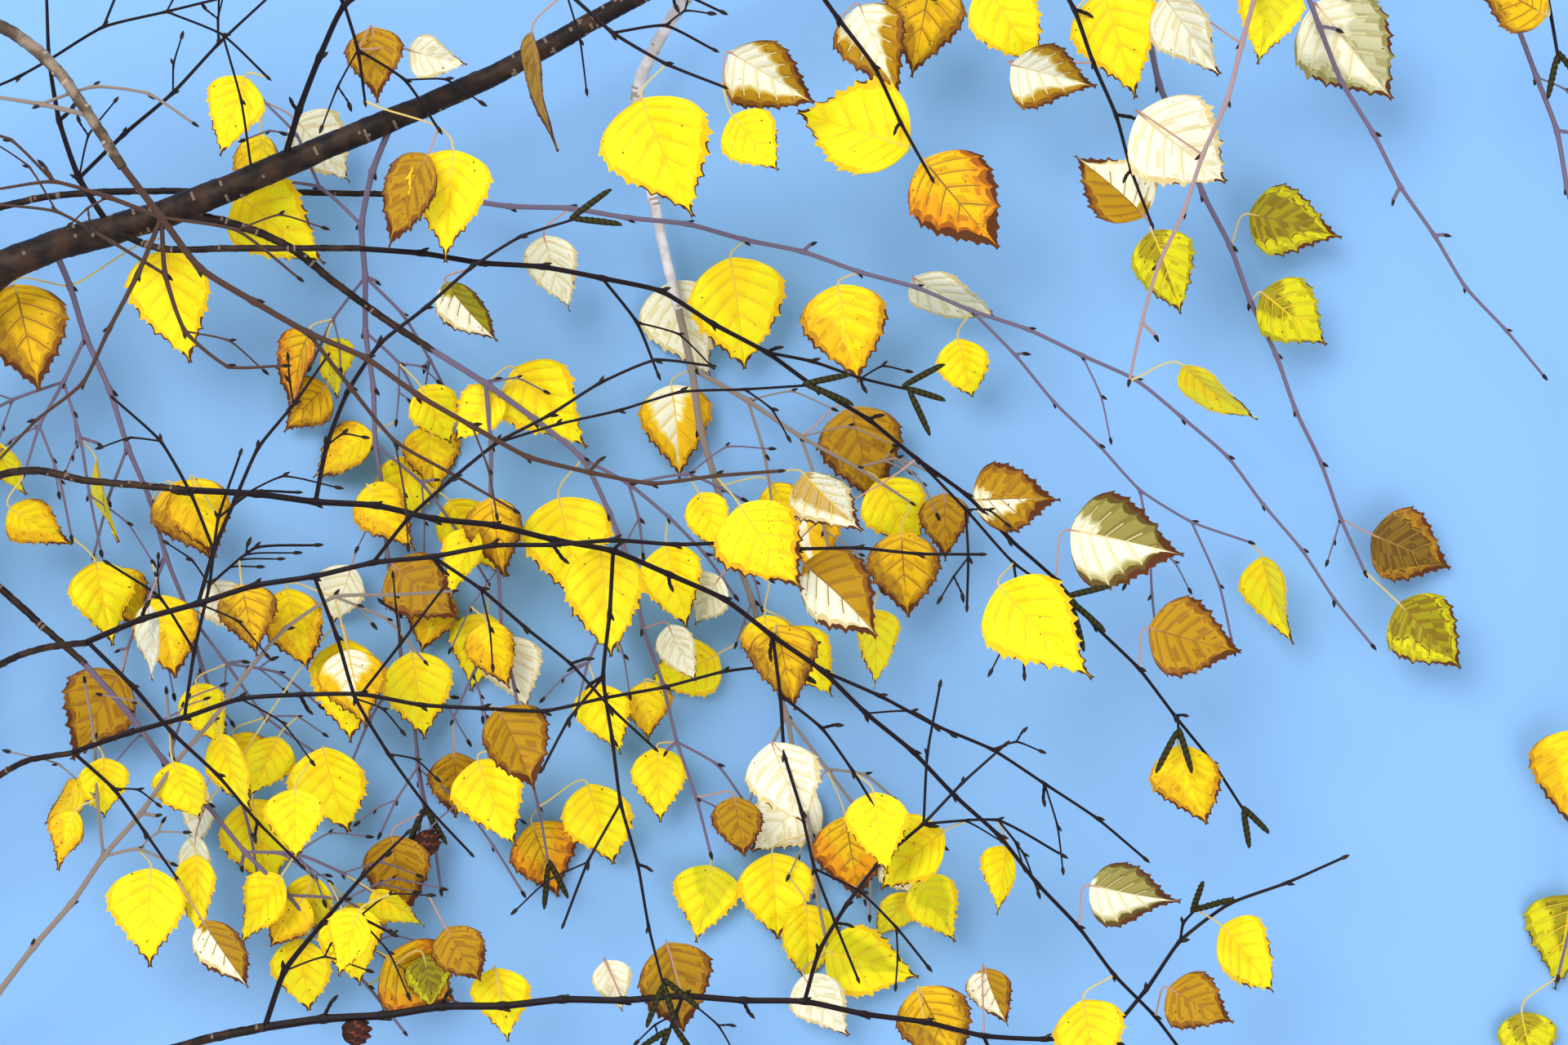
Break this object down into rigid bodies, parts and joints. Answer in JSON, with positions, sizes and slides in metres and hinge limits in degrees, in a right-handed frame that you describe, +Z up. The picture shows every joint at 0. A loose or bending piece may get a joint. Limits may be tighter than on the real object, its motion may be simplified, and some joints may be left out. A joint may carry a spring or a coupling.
{
  "type": "cut birch branch in autumn leaf",
  "caption": "Sawn birch bough laid flat: a main stem, side boughs and arching sprays of thin twigs with yellow autumn leaves and catkins.",
  "frame": {"origin": "middle of the branch's footprint, on the ground that it lies on", "axes": "+Z up from the ground; +Y from the cut end towards the upper boughs; +X from the main stem towards the tips of the sprays"},
  "size_m": [0.7748, 0.5629, 0.1251],
  "materials": {
    "dark_bark": "thin dark brown bark with pale pores, slightly satin",
    "pale_bark": "weathered grey-tan bark, matt",
    "autumn_foliage": "thin yellow leaves with a soft sheen, on dark twigs"
  },
  "bodies": {
    "root": {"main_stem": "dark_bark", "upper_limb": "dark_bark", "top_bough": "dark_bark", "over_bough": "pale_bark", "over_crest": "pale_bark", "arch_bough": "dark_bark", "middle_bough": "dark_bark", "slant_bough": "dark_bark", "low_bough": "dark_bark", "grey_bough": "pale_bark", "foot_bough": "dark_bark", "reach_bough": "dark_bark", "inner_bough": "dark_bark", "far_bough": "dark_bark", "pale_bough": "pale_bark", "arch_spray": "autumn_foliage", "middle_spray": "autumn_foliage", "low_spray": "autumn_foliage", "slant_spray": "autumn_foliage", "grey_spray": "autumn_foliage", "foot_spray": "autumn_foliage", "over_spray": "autumn_foliage", "reach_spray": "autumn_foliage", "inner_spray": "autumn_foliage", "far_spray": "autumn_foliage", "left_spray": "autumn_foliage", "hanging_spray": "autumn_foliage", "pale_spray": "autumn_foliage", "crown_spray": "autumn_foliage", "mid_top_spray": "autumn_foliage", "right_top_spray": "autumn_foliage", "near_spray": "autumn_foliage", "right_spray": "autumn_foliage", "back_spray": "autumn_foliage", "corner_spray": "autumn_foliage", "edge_spray": "autumn_foliage", "brow_spray": "autumn_foliage", "crest_spray": "autumn_foliage"}
  },
  "joints": []
}
